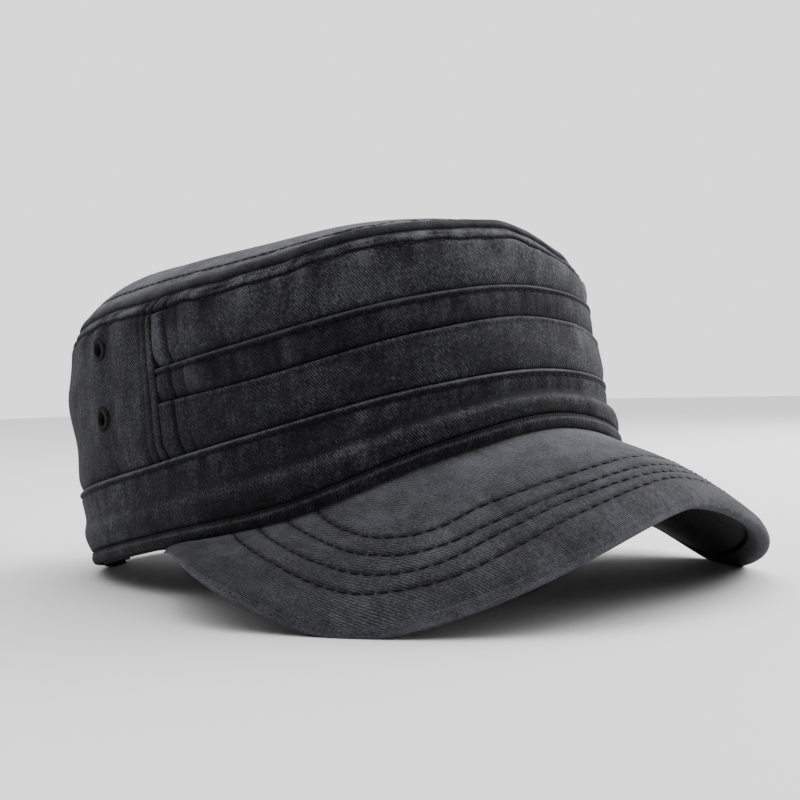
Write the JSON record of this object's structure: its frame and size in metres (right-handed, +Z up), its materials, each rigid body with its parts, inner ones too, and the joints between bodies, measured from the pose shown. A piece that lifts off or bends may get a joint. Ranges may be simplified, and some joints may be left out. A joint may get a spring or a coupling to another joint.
{
  "type": "cloth cap",
  "caption": "Flat-topped washed denim military cap with a tiered front, stitched curved peak and strapped back opening, resting as on a table.",
  "frame": {"origin": "under the middle of the whole cap, on the table it rests on", "axes": "-Y towards the front of the cap, where the peak points; +Z up; +X towards the wearer's left"},
  "size_m": [0.2088, 0.2594, 0.1212],
  "materials": {
    "denim": "washed charcoal twill, worn lighter along folds and seams",
    "denim_shaded": "the same twill, less worn and darker",
    "thread": "matt black sewing thread",
    "sweatband_cloth": "plain dark cotton tape",
    "peak_underside": "dark twill, little worn"
  },
  "bodies": {
    "root": {"crown_top": "denim", "front_upper": "denim", "front_strip": "denim_shaded", "front_middle": "denim", "back_panel_right": "denim", "back_panel_left": "denim", "eyelet_right_upper": "thread", "eyelet_right_lower": "thread", "eyelet_left_upper": "thread", "eyelet_left_lower": "thread", "band": "denim", "hem": "denim", "sweatband": "sweatband_cloth", "back_binding": "denim", "back_strap": "denim_shaded", "peak": "denim", "peak_facing": "peak_underside"}
  },
  "joints": []
}
